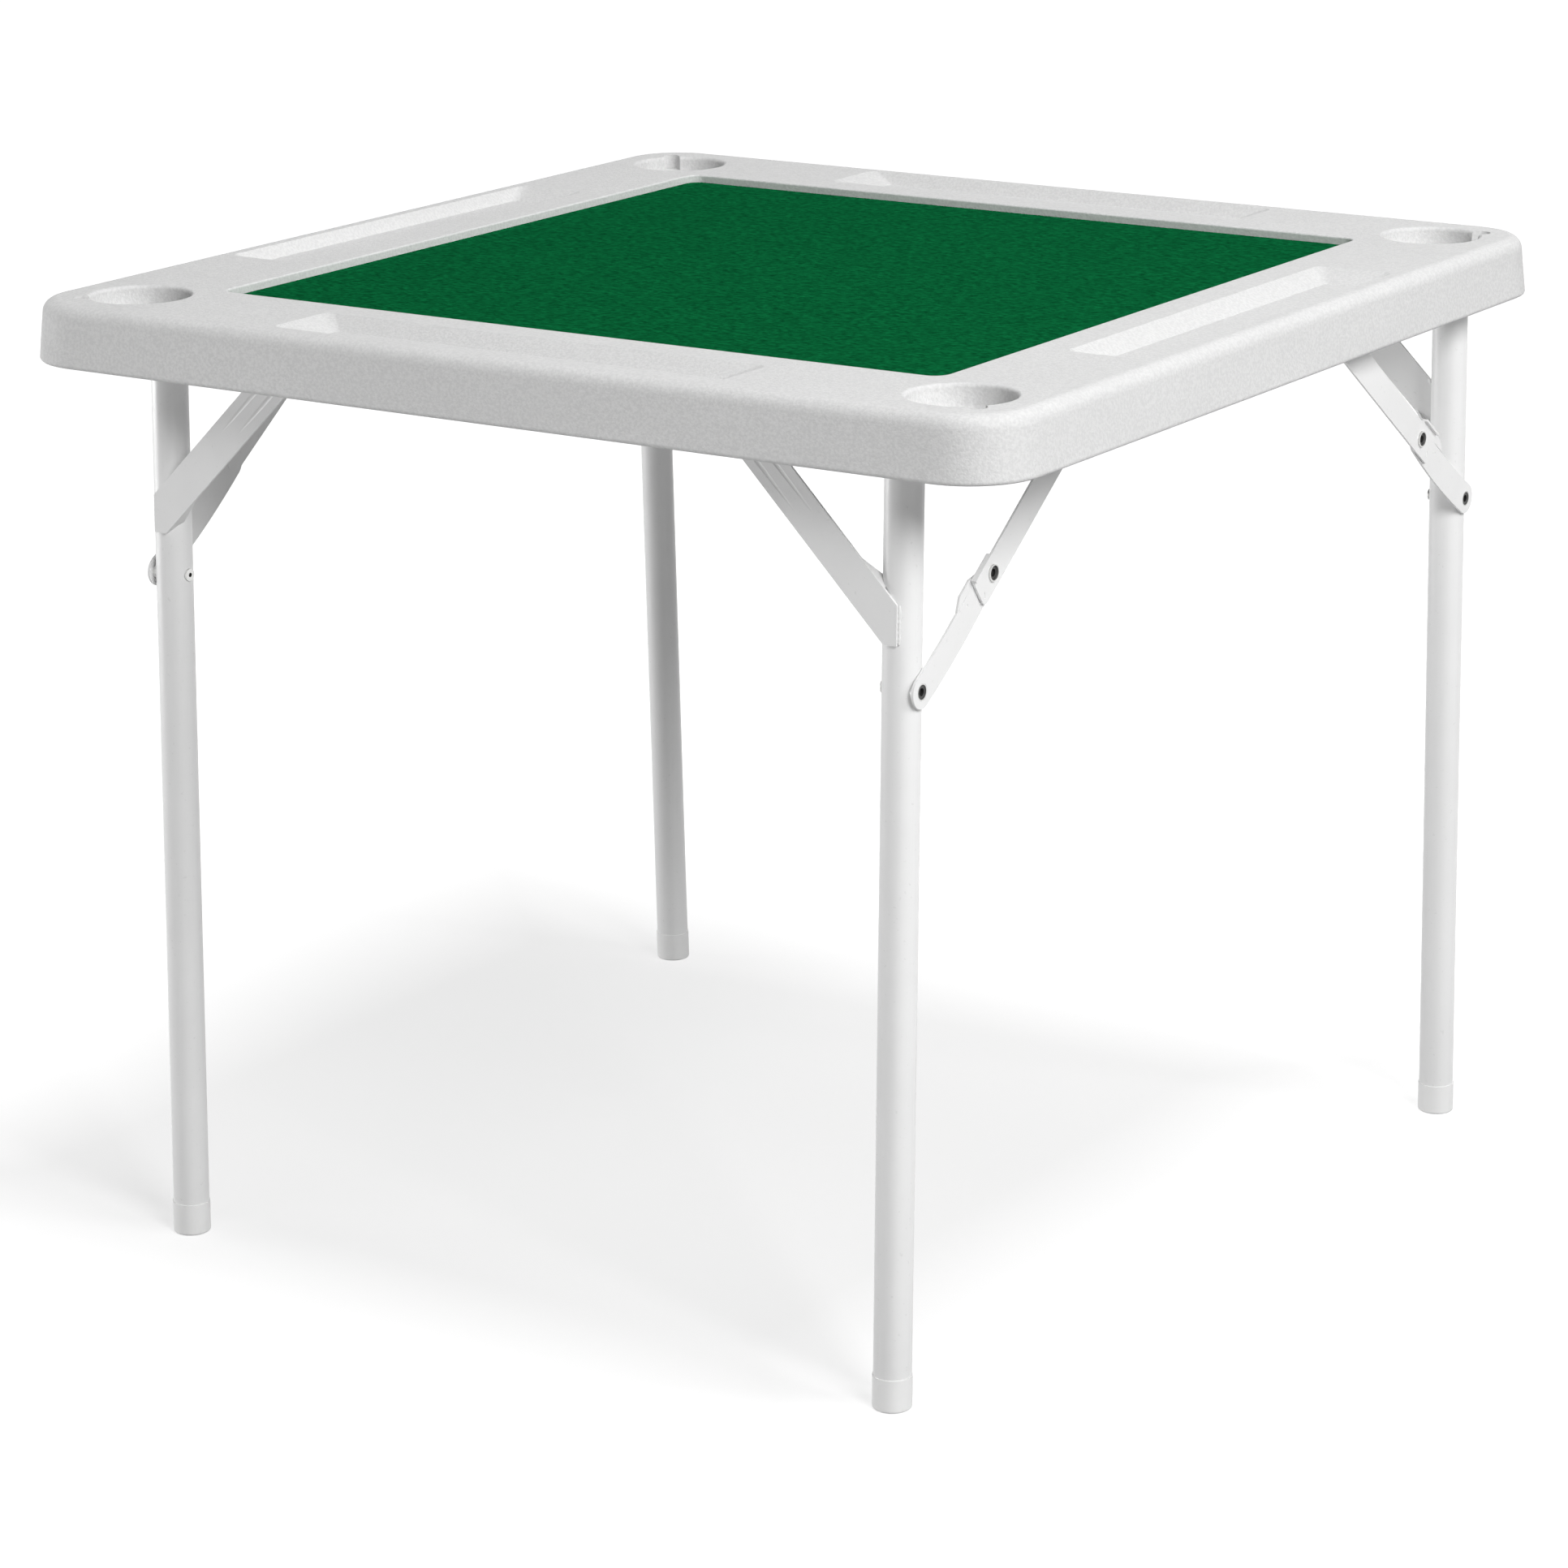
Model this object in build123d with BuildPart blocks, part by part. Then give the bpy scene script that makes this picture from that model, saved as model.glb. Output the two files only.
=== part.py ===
from build123d import *
from math import atan, atan2, cos, degrees, hypot, radians, sin
import os

os.makedirs("parts", exist_ok=True)

# Square folding card table with a blow-moulded top, a felt playing field,
# two folding tube frames and four folding stays.
# +Z is up, the origin is on the floor under the middle of the top,
# -Y is the front. Frame a is the front pair of legs, frame b the rear pair.
# Millimetres.

# Overall sizes
table_width = 864.0
table_height = 736.0
skirt_height = 47.0
skirt_flare = 5.0
plan_corner_radius = 55.0
top_edge_radius = 11.0
bottom_edge_radius = 3.0

# Moulded top: rim, underside recess and hollow between the skins
skirt_wall = 13.0
deck_thickness = 25.0
skin = 3.0
rim_inset = 14.0
cut_overrun = 2.0
dimple_radius = 13.0
dimple_top_radius = 9.0
dimple_depth = 6.0
dimple_wall = 3.5
dimple_pitch = 110.0
dimple_rows = 5

# Felt playing field
felt_border = 114.5
felt_thickness = 2.0
felt_below_rim = 6.0
board_thickness = 3.0
pocket_clearance = 0.4
pocket_corner_radius = 12.0
pocket_lip_radius = 1.5

# Cup wells, one in each corner
cup_radius = 38.0
cup_depth = 20.0
cup_inset = 71.0
cup_lip_radius = 3.0
cup_floor_radius = 5.0
notch_width = 14.0
notch_reach = 12.0
notch_depth = 12.0

# Chip trays, one along each side
tray_length = 390.0
tray_span = 64.0
tray_inset = 22.0
tray_depth = 9.0
tray_inner_slope = 18.0
tray_outer_slope = 8.0
tray_end_slope = 24.0
tray_corner_radius = 8.0
tray_floor_radius = 4.0

# Tube frames
tube_diameter = 28.0
tube_wall = 1.2
frame_a_side_inset = 108.0
frame_a_hinge_inset = 57.5
frame_b_side_inset = 46.0
frame_b_hinge_inset = 83.5
frame_b_drop = 1.0
fold_gap = 2.5
lean_angle = 1.6
cope_drop = 4.0
plug_cap = 1.5
plug_depth = 12.0

# Foot caps
foot_wall = 0.6
foot_height = 25.0
foot_sole = 5.0
foot_edge_radius = 2.0

# Corner braces between leg and cross tube
brace_width = 28.0
brace_thickness = 2.0
brace_angle = 45.0
brace_meet_drop = 117.5
brace_top_rise = 6.0
brace_overlap = 5.0
brace_end_step = 6.0
brace_lower_flange_run = 42.0
brace_upper_flange_run = 26.0
brace_flange_depth = 14.0
groove_radius = 3.2
groove_depth = 0.9
groove_length = 78.0
groove_spacing = 11.0

# Folding stays
stay_width = 24.0
stay_thickness = 1.8
stay_leg_gap = 0.8
stay_layer_gap = 0.5
stay_bow = 2.5
stay_tail = 22.0
stay_tail_radius = 5.0
leg_rivet_drop = 165.0
stay_pivot_reach = 222.0
lobe_height = 7.0
lobe_shares = ((0.58, -0.4), (0.66, 1.0), (0.80, 1.0), (0.92, -0.4))
tab_height = 3.5
tab_above_knee = 4.0
tab_lip = 2.5
slit_reach = 17.0
slit_side = 5.0
slit_length = 5.0
slit_width = 1.4
slit_depth = 0.5
slit_turn = 60.0
pip_reach = 35.0
pip_side = 4.0
pip_radius = 1.2
pip_depth = 0.5

# Rivets and pins
rivet_radius = 4.0
rivet_head_radius = 6.2
rivet_head = 1.6
rivet_rim = 0.9
rivet_rim_depth = 1.2
rivet_bore_radius = 2.9
rivet_bore_depth = 2.8
flush_head = 0.8
flush_rim_depth = 0.5
flush_depth = 0.9
flush_clearance = 0.1
running_clearance = 0.05
rivet_tail_radius = 4.8
rivet_tail = 1.2
collar_radius = 5.2
collar = 0.35
washer_radius = 8.0
side_play = 0.05

# Hinge straps and saddles under the deck
strap_gap = 20.0
strap_length = 24.0
strap_thickness = 2.0
strap_flange = 14.0
saddle_start = 6.0

# Stay brackets under the deck
bracket_thickness = 2.0
bracket_gap = 0.3
bracket_flange = 12.5
bracket_length = 40.0
bracket_ear_radius = 10.0
bracket_screw_spacing = 26.0

# Screws
screw_radius = 1.8
screw_head_radius = 3.6
screw_head = 2.2
screw_length = 9.0
screw_slot_width = 0.9
screw_slot_depth = 0.8

# Worked out from the sizes above
skirt_bottom_z = table_height - skirt_height
deck_z = table_height - deck_thickness
recess_width = table_width - 2 * skirt_wall
recess_corner_radius = plan_corner_radius - skirt_wall
felt_width = table_width - 2 * felt_border
pocket_width = felt_width + 2 * pocket_clearance
pocket_depth = felt_below_rim + felt_thickness + board_thickness
pocket_floor_z = table_height - pocket_depth
void_width = table_width - 2 * rim_inset
void_corner_radius = plan_corner_radius - rim_inset
cup_offset = table_width / 2 - cup_inset
tray_outer_edge = table_width / 2 - tray_inset
tray_inner_edge = tray_outer_edge - tray_span
tray_middle = (tray_outer_edge + tray_inner_edge) / 2
tube_radius = tube_diameter / 2
foot_radius = tube_radius + foot_wall
lean = radians(lean_angle)
frame_a_half = table_width / 2 - frame_a_side_inset
frame_b_half = table_width / 2 - frame_b_side_inset
hinge_y_a = frame_a_hinge_inset - table_width / 2
hinge_y_b = table_width / 2 - frame_b_hinge_inset
hinge_z_a = deck_z - fold_gap - foot_radius
hinge_z_b = hinge_z_a - frame_b_drop
strap_inner_radius = tube_radius + running_clearance
strap_outer_radius = strap_inner_radius + strap_thickness
stay_half = stay_width / 2
stay_hole_radius = rivet_radius + running_clearance
slant = radians(brace_angle)
brace_slope = cos(slant) / sin(slant)
brace_lift = brace_width / 2 / sin(slant)
strap_reach = (brace_top_rise + brace_meet_drop + brace_lift) / brace_slope + strap_gap

# Layers of a stay outward from the leg's outer face
lower_stay_in = tube_radius + stay_leg_gap
lower_stay_out = lower_stay_in + stay_thickness
upper_stay_in = lower_stay_out + stay_layer_gap
upper_stay_out = upper_stay_in + stay_thickness
ear_in = upper_stay_out + bracket_gap
ear_out = ear_in + bracket_thickness

# Stay geometry in a side view from the hinge axis: u inward, v up.
# Straight when the legs are down, folded back on itself when they are up.
rivet_u = -leg_rivet_drop * sin(lean)
rivet_v = -leg_rivet_drop * cos(lean)
open_span = hypot(stay_pivot_reach - rivet_u, rivet_v)
folded_span = stay_pivot_reach - leg_rivet_drop
lower_stay_length = (open_span - folded_span) / 2
upper_stay_length = (open_span + folded_span) / 2
stay_angle = atan2(-rivet_v, stay_pivot_reach - rivet_u)
knee_u = rivet_u + lower_stay_length * cos(stay_angle)
knee_v = rivet_v + lower_stay_length * sin(stay_angle)

frames = {
    "a": {"half": frame_a_half, "hinge_y": hinge_y_a, "z": hinge_z_a, "inward": 1},
    "b": {"half": frame_b_half, "hinge_y": hinge_y_b, "z": hinge_z_b, "inward": -1},
}
sides = {"left": -1, "right": 1}

print("hinge heights", round(hinge_z_a, 3), round(hinge_z_b, 3))
print("stay angle", round(degrees(stay_angle), 4), "lower", round(lower_stay_length, 3), "upper",
      round(upper_stay_length, 3), "knee", round(knee_u, 3), round(knee_v, 3))


def keep(piece, name):
    piece.label = name
    export_step(piece, "parts/" + name + ".step")


def frame_plane(frame):
    """Plane of a frame through its hinge axis: X across, Y up the legs, Z outward."""
    inward = frame["inward"]
    return Plane(origin=(0, frame["hinge_y"], frame["z"]), x_dir=(inward, 0, 0),
                 z_dir=(0, -inward * cos(lean), sin(lean)))


def leg_axis_plane(frame, side):
    """Plane square to a leg at the hinge axis, with Z down the leg."""
    base = frame_plane(frame)
    start = base.from_local_coords(Vector(side * frame["inward"] * frame["half"], 0, 0))
    return Plane(origin=start, x_dir=base.x_dir, z_dir=-base.y_dir)


def side_plane(frame, side, layer, u, v, turn=0.0):
    """Plane of a stay at a distance outward from the leg's axis, X along the stay."""
    inward = frame["inward"]
    place = (side * (frame["half"] + layer), frame["hinge_y"] + inward * u, frame["z"] + v)
    return Plane(origin=place, x_dir=(0, inward * cos(turn), sin(turn)), z_dir=(inward, 0, 0))


def outward(frame, side):
    """Sign that turns a stay plane's Z into the way out from the leg."""
    return side * frame["inward"]


def add_rod(plane, radius, start, end, way=1, mode=Mode.ADD):
    """A round rod between two distances along a plane's Z."""
    with BuildSketch(plane.offset(way * start)) as disc:
        Circle(radius)
    extrude(disc.sketch, amount=way * (end - start), mode=mode)


def hollow_rivet(plane, top, rim_depth, way):
    """Cuts the wide mouth and the bore of a hollow rivet from its head."""
    add_rod(plane, rivet_head_radius - rivet_rim, top - rim_depth, top, way, mode=Mode.SUBTRACT)
    add_rod(plane, rivet_bore_radius, top - rivet_bore_depth, top, way, mode=Mode.SUBTRACT)


# Cutters for the wells in the top
with BuildPart() as cup_cutter:
    with BuildSketch(Plane.XZ) as cup_profile:
        with BuildLine():
            lip = cup_radius + cup_lip_radius
            bend = cup_lip_radius * cos(radians(45))
            floor_bend = cup_floor_radius * cos(radians(45))
            Polyline((0, cut_overrun), (lip, cut_overrun), (lip, 0))
            ThreePointArc((lip, 0), (lip - bend, bend - cup_lip_radius), (cup_radius, -cup_lip_radius))
            Line((cup_radius, -cup_lip_radius), (cup_radius, cup_floor_radius - cup_depth))
            ThreePointArc((cup_radius, cup_floor_radius - cup_depth),
                          (cup_radius - cup_floor_radius + floor_bend, cup_floor_radius - floor_bend - cup_depth),
                          (cup_radius - cup_floor_radius, -cup_depth))
            Polyline((cup_radius - cup_floor_radius, -cup_depth), (0, -cup_depth), (0, cut_overrun))
        make_face()
    revolve(axis=Axis.Z)
    with BuildSketch(Plane.XY.offset(cut_overrun)):
        with Locations(((cup_radius + notch_reach) / 2, 0)):
            SlotOverall(cup_radius + notch_reach, notch_width)
    extrude(amount=-(notch_depth + cut_overrun))

with BuildPart() as tray_cutter:
    floor_span = tray_span - tray_inner_slope - tray_outer_slope
    floor_middle = tray_inner_edge + tray_inner_slope + floor_span / 2
    with BuildSketch(Plane.XY.offset(table_height)):
        with Locations((tray_middle, 0)):
            RectangleRounded(tray_span, tray_length, tray_corner_radius)
    with BuildSketch(Plane.XY.offset(table_height - tray_depth)):
        with Locations((floor_middle, 0)):
            RectangleRounded(floor_span, tray_length - 2 * tray_end_slope, tray_floor_radius)
    loft(ruled=True)
    with BuildSketch(Plane.XY.offset(table_height)):
        with Locations((tray_middle, 0)):
            RectangleRounded(tray_span, tray_length, tray_corner_radius)
    extrude(amount=cut_overrun)

# Sealed hollow between the top's upper and lower skins
with BuildPart() as hollow:
    with BuildSketch(Plane.XY.offset(deck_z + skin)):
        RectangleRounded(void_width, void_width, void_corner_radius)
    extrude(amount=deck_thickness - 2 * skin)
    with BuildSketch(Plane.XY.offset(pocket_floor_z - skin)):
        RectangleRounded(pocket_width + 2 * skin, pocket_width + 2 * skin, pocket_corner_radius + skin)
    extrude(amount=pocket_depth, mode=Mode.SUBTRACT)
    with BuildSketch(Plane.XY.offset(deck_z)):
        with GridLocations(2 * cup_offset, 2 * cup_offset, 2, 2):
            Circle(cup_radius + cup_lip_radius + skin)
        for k in range(4):
            with Locations(Location((0, 0, 0), (0, 0, 45 + 90 * k))):
                with Locations((cup_offset * 2 ** 0.5 + (cup_radius + notch_reach + skin) / 2, 0)):
                    SlotOverall(cup_radius + notch_reach + skin, notch_width + 2 * skin)
    extrude(amount=deck_thickness, mode=Mode.SUBTRACT)
    with BuildSketch(Plane.XY.offset(table_height - tray_depth - skin)):
        for k in range(4):
            with Locations(Location((0, 0, 0), (0, 0, 90 * k))):
                with Locations((tray_middle, 0)):
                    Rectangle(tray_span + 2 * skin, tray_length + 2 * skin)
    extrude(amount=deck_thickness, mode=Mode.SUBTRACT)
    with BuildSketch(Plane.XY.offset(deck_z)):
        with GridLocations(dimple_pitch, dimple_pitch, dimple_rows, dimple_rows):
            Circle(dimple_radius + dimple_wall)
    extrude(amount=deck_thickness, mode=Mode.SUBTRACT)

# Places of the screws in the deck's underside
strap_screw_places = []
bracket_screw_places = []
for frame in frames.values():
    reach = strap_outer_radius + strap_flange / 2
    for side in sides.values():
        for way in (-1, 1):
            strap_screw_places.append((side * (frame["half"] - strap_reach - strap_length / 2),
                                       frame["hinge_y"] + way * reach))
            screw_x = frame["half"] + ear_in + (bracket_flange + bracket_thickness) / 2
            screw_y = frame["hinge_y"] + frame["inward"] * stay_pivot_reach + way * bracket_screw_spacing / 2
            bracket_screw_places.append((side * screw_x, screw_y))

# One-piece moulded top
with BuildPart() as tabletop_shell:
    with BuildSketch(Plane.XY.offset(skirt_bottom_z)):
        RectangleRounded(table_width, table_width, plan_corner_radius)
    extrude(amount=skirt_height, taper=degrees(atan(skirt_flare / skirt_height)))
    fillet(tabletop_shell.edges().group_by(Axis.Z)[-1], top_edge_radius)
    fillet(tabletop_shell.edges().group_by(Axis.Z)[0], bottom_edge_radius)
    with BuildSketch(Plane.XY.offset(skirt_bottom_z)):
        RectangleRounded(recess_width, recess_width, recess_corner_radius)
    extrude(amount=deck_z - skirt_bottom_z, mode=Mode.SUBTRACT)
    with BuildSketch(Plane.XY.offset(table_height)):
        RectangleRounded(pocket_width, pocket_width, pocket_corner_radius)
    extrude(amount=-pocket_depth, mode=Mode.SUBTRACT)
    pocket_edges = tabletop_shell.edges().filter_by_position(Axis.Z, table_height, table_height)
    for axis in (Axis.X, Axis.Y):
        pocket_edges = pocket_edges.filter_by_position(axis, -pocket_width / 2, pocket_width / 2)
    fillet(pocket_edges, pocket_lip_radius)
    for k in range(4):
        add(cup_cutter.part.moved(Location((cup_offset, cup_offset, table_height), (0, 0, 45))).rotate(
            Axis.Z, 90 * k), mode=Mode.SUBTRACT)
        add(tray_cutter.part.rotate(Axis.Z, 90 * k), mode=Mode.SUBTRACT)
    with BuildSketch(Plane.XY.offset(deck_z)):
        with GridLocations(dimple_pitch, dimple_pitch, dimple_rows, dimple_rows):
            Circle(dimple_radius)
    extrude(amount=dimple_depth, taper=degrees(atan((dimple_radius - dimple_top_radius) / dimple_depth)),
            mode=Mode.SUBTRACT)
    add(hollow.part, mode=Mode.SUBTRACT)
    for places, plate in ((strap_screw_places, strap_thickness), (bracket_screw_places, bracket_thickness)):
        with BuildSketch(Plane.XY.offset(deck_z)):
            with Locations(places):
                Circle(screw_radius)
        extrude(amount=screw_length - plate, mode=Mode.SUBTRACT)
keep(tabletop_shell.part, "tabletop_shell")

# Felt and the board it is glued to
with BuildPart() as play_board:
    with BuildSketch(Plane.XY.offset(pocket_floor_z)):
        RectangleRounded(felt_width, felt_width, pocket_corner_radius - pocket_clearance)
    extrude(amount=board_thickness)
keep(play_board.part, "play_board")

with BuildPart() as play_felt:
    with BuildSketch(Plane.XY.offset(pocket_floor_z + board_thickness)):
        RectangleRounded(felt_width, felt_width, pocket_corner_radius - pocket_clearance)
    extrude(amount=felt_thickness)
keep(play_felt.part, "play_felt")


def hinge_straps(frame):
    """Two steel U straps that hold the cross tube under the deck."""
    rise = deck_z - frame["z"]
    with BuildPart() as straps:
        for side in sides.values():
            start = Plane(origin=(side * (frame["half"] - strap_reach - strap_length / 2) - strap_length / 2,
                                  frame["hinge_y"], frame["z"]),
                          x_dir=(0, 1, 0), z_dir=(1, 0, 0))
            with BuildSketch(start):
                Circle(strap_outer_radius)
                Rectangle(2 * strap_outer_radius, rise, align=(Align.CENTER, Align.MIN))
                with Locations((0, rise)):
                    Rectangle(2 * (strap_outer_radius + strap_flange), strap_thickness,
                              align=(Align.CENTER, Align.MAX))
                Circle(strap_inner_radius, mode=Mode.SUBTRACT)
                Rectangle(2 * strap_inner_radius, rise, align=(Align.CENTER, Align.MIN), mode=Mode.SUBTRACT)
            extrude(amount=strap_length)
        with BuildSketch(Plane.XY.offset(deck_z)):
            with Locations(strap_screw_places):
                Circle(screw_radius)
        extrude(amount=-strap_thickness, mode=Mode.SUBTRACT)
    return straps.part


def hinge_saddles(frame):
    """Two moulded saddles between the cross tube and the deck."""
    rise = deck_z - frame["z"]
    with BuildPart() as saddles:
        for side in sides.values():
            start = Plane(origin=(side * (frame["half"] - strap_reach - strap_length / 2) - strap_length / 2,
                                  frame["hinge_y"], frame["z"]),
                          x_dir=(0, 1, 0), z_dir=(1, 0, 0))
            with BuildSketch(start):
                with Locations((0, saddle_start)):
                    Rectangle(2 * strap_inner_radius, rise - saddle_start, align=(Align.CENTER, Align.MIN))
                Circle(strap_inner_radius, mode=Mode.SUBTRACT)
            extrude(amount=strap_length)
    return saddles.part


def screws(places, plate):
    """Pan-head screws driven up through a plate into the deck, with a cross recess."""
    seat = deck_z - plate
    with BuildPart() as group:
        with BuildSketch(Plane.XY.offset(seat - screw_head)):
            with Locations(places):
                Circle(screw_head_radius)
        extrude(amount=screw_head)
        with BuildSketch(Plane.XY.offset(seat)):
            with Locations(places):
                Circle(screw_radius)
        extrude(amount=screw_length)
        with BuildSketch(Plane.XY.offset(seat - screw_head)):
            with Locations(places):
                Rectangle(screw_head_radius, screw_slot_width)
                Rectangle(screw_slot_width, screw_head_radius)
        extrude(amount=screw_slot_depth, mode=Mode.SUBTRACT)
    return group.part


def stay_brackets(frame):
    """Two angle brackets under the deck that carry the upper stay pivots."""
    rise = deck_z - frame["z"]
    with BuildPart() as brackets:
        for side in sides.values():
            way = outward(frame, side)
            plane = side_plane(frame, side, ear_in, stay_pivot_reach, 0)
            with BuildSketch(plane):
                Circle(bracket_ear_radius)
                Rectangle(2 * bracket_ear_radius, rise, align=(Align.CENTER, Align.MIN))
                Circle(rivet_radius, mode=Mode.SUBTRACT)
            extrude(amount=way * bracket_thickness)
            with BuildSketch(plane):
                with Locations((0, rise)):
                    Rectangle(bracket_length, bracket_thickness, align=(Align.CENTER, Align.MAX))
            extrude(amount=way * bracket_flange)
        with BuildSketch(Plane.XY.offset(deck_z)):
            with Locations(bracket_screw_places):
                Circle(screw_radius)
        extrude(amount=-bracket_thickness, mode=Mode.SUBTRACT)
    return brackets.part


def bracket_pins(frame):
    """Pins through the bracket ears and the upper ends of the stays."""
    with BuildPart() as pins:
        for side in sides.values():
            way = outward(frame, side)
            plane = side_plane(frame, side, 0, stay_pivot_reach, 0)
            add_rod(plane, collar_radius, upper_stay_in - collar - side_play, upper_stay_in - side_play, way)
            add_rod(plane, rivet_radius, upper_stay_in - side_play, ear_out, way)
            add_rod(plane, rivet_head_radius, ear_out, ear_out + rivet_head, way)
            hollow_rivet(plane, ear_out + rivet_head, rivet_rim_depth, way)
    return pins.part


def cross_tube(frame):
    """Cross tube on the hinge axis, between the two end plugs."""
    half = frame["half"] + tube_radius - plug_cap
    with BuildPart() as tube:
        with BuildSketch(Plane(origin=(-half, frame["hinge_y"], frame["z"]), x_dir=(0, 1, 0), z_dir=(1, 0, 0))):
            Circle(tube_radius)
            Circle(tube_radius - tube_wall, mode=Mode.SUBTRACT)
        extrude(amount=2 * half)
    return tube.part


def tube_plugs(frame):
    """Plastic plugs in the two ends of the cross tube."""
    half = frame["half"] + tube_radius
    with BuildPart() as plugs:
        for side in sides.values():
            start = Plane(origin=(side * half, frame["hinge_y"], frame["z"]), x_dir=(0, 1, 0), z_dir=(-side, 0, 0))
            add_rod(start, tube_radius, 0, plug_cap)
            add_rod(start, tube_radius - tube_wall, plug_cap, plug_cap + plug_depth)
    return plugs.part


def foot_reach(frame):
    """Distance down the leg from the hinge axis to the floor."""
    return frame["z"] / cos(lean)


def leg_tube(frame, side):
    """Leg tube, coped onto the cross tube and drilled for the stay rivet."""
    plane = leg_axis_plane(frame, side)
    end = foot_reach(frame) - foot_sole
    with BuildPart() as leg:
        add_rod(plane, tube_radius, cope_drop, end)
        add_rod(plane, tube_radius - tube_wall, cope_drop, end, mode=Mode.SUBTRACT)
        with BuildSketch(Plane(origin=(side * (frame["half"] - 2 * tube_radius), frame["hinge_y"], frame["z"]),
                               x_dir=(0, 1, 0), z_dir=(side, 0, 0))):
            Circle(tube_radius)
        extrude(amount=4 * tube_radius, mode=Mode.SUBTRACT)
        drill = side_plane(frame, side, 0, rivet_u, rivet_v)
        add_rod(drill, rivet_radius, -2 * tube_radius, 2 * tube_radius, outward(frame, side), mode=Mode.SUBTRACT)
    return leg.part


def foot_cap(frame, side):
    """Plastic cap over the leg's end, flat where it meets the floor."""
    plane = leg_axis_plane(frame, side)
    reach = foot_reach(frame)
    with BuildPart() as cap:
        add_rod(plane, foot_radius, reach - foot_height, reach + foot_sole)
        add_rod(plane, tube_radius, reach - foot_height, reach - foot_sole, mode=Mode.SUBTRACT)
        split(bisect_by=Plane.XY, keep=Keep.TOP)
        fillet(cap.edges().group_by(Axis.Z)[0], foot_edge_radius)
    return cap.part


def corner_brace(frame, side):
    """Pressed strip from the leg to the cross tube, with turned-in edges at the leg."""
    base = frame_plane(frame)
    turn = side * frame["inward"]
    half = frame["half"]
    top = brace_top_rise
    end_x = half + brace_overlap
    step_x = half - brace_end_step

    def edge_y(x, sign):
        return -brace_meet_drop + (half - x) * brace_slope + sign * brace_lift

    def edge_x(y, sign):
        return half - (y + brace_meet_drop - sign * brace_lift) / brace_slope

    corners = [
        (edge_x(top, -1), top), (edge_x(top, 1), top), (end_x, edge_y(end_x, 1)),
        (end_x, edge_y(step_x, -1)), (step_x, edge_y(step_x, -1)),
    ]
    face = base.offset(tube_radius)
    with BuildPart() as brace:
        with BuildSketch(face):
            Polygon(*[(turn * x, y) for x, y in corners], align=None)
        extrude(amount=brace_thickness)
        along = base.x_dir * (-turn * sin(slant)) + base.y_dir * cos(slant)
        for sign, run in ((-1, brace_lower_flange_run), (1, brace_upper_flange_run)):
            start = face.from_local_coords(Vector(turn * step_x, edge_y(step_x, sign), 0))
            web = Plane(origin=start, x_dir=along, z_dir=along.cross(base.z_dir))
            inner = 1 if web.z_dir.dot(base.y_dir) * sign < 0 else -1
            with BuildSketch(web):
                down = 1 if web.y_dir.dot(base.z_dir) < 0 else -1
                Polygon((0, 0), (run, 0), (0, down * brace_flange_depth), align=None)
            extrude(amount=inner * brace_thickness)
        add_rod(leg_axis_plane(frame, side), tube_radius, 0, 2 * brace_meet_drop, mode=Mode.SUBTRACT)
        for way in (-1, 1):
            shift = way * groove_spacing / 2 / cos(slant)
            x = half - (brace_meet_drop + top) / brace_slope + shift
            height = brace_thickness + groove_radius - groove_depth
            start = face.from_local_coords(Vector(turn * x, top, height))
            tilt = Vector(along) * -groove_length + base.z_dir * groove_depth
            back = start - tilt.normalized() * brace_width
            groove = Plane(origin=back, z_dir=tilt)
            with BuildSketch(groove):
                Circle(groove_radius)
            extrude(amount=groove_length + brace_width, mode=Mode.SUBTRACT)
    return brace.part


def leg_rivets(frame):
    """Rivets through the legs that carry the lower ends of the stays."""
    with BuildPart() as rivets:
        for side in sides.values():
            way = outward(frame, side)
            plane = side_plane(frame, side, 0, rivet_u, rivet_v)
            head_start = lower_stay_out - flush_depth + side_play
            add_rod(plane, rivet_tail_radius, -tube_radius - rivet_tail, -tube_radius, way)
            add_rod(plane, rivet_radius, -tube_radius, head_start, way)
            add_rod(plane, rivet_head_radius, head_start, head_start + flush_head, way)
            hollow_rivet(plane, head_start + flush_head, flush_rim_depth, way)
            add_rod(plane, rivet_bore_radius / 2, -tube_radius - rivet_tail, -tube_radius, way,
                    mode=Mode.SUBTRACT)
    return rivets.part


def stay_washers(frame):
    """Saddle washers between the legs and the lower stays."""
    with BuildPart() as washers:
        for side in sides.values():
            way = outward(frame, side)
            plane = side_plane(frame, side, 0, rivet_u, rivet_v)
            add_rod(plane, washer_radius, tube_radius / 2, lower_stay_in - side_play, way)
            add_rod(plane, rivet_radius, 0, lower_stay_in, way, mode=Mode.SUBTRACT)
            add_rod(leg_axis_plane(frame, side), tube_radius, 0, 2 * leg_rivet_drop, mode=Mode.SUBTRACT)
    return washers.part


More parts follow.
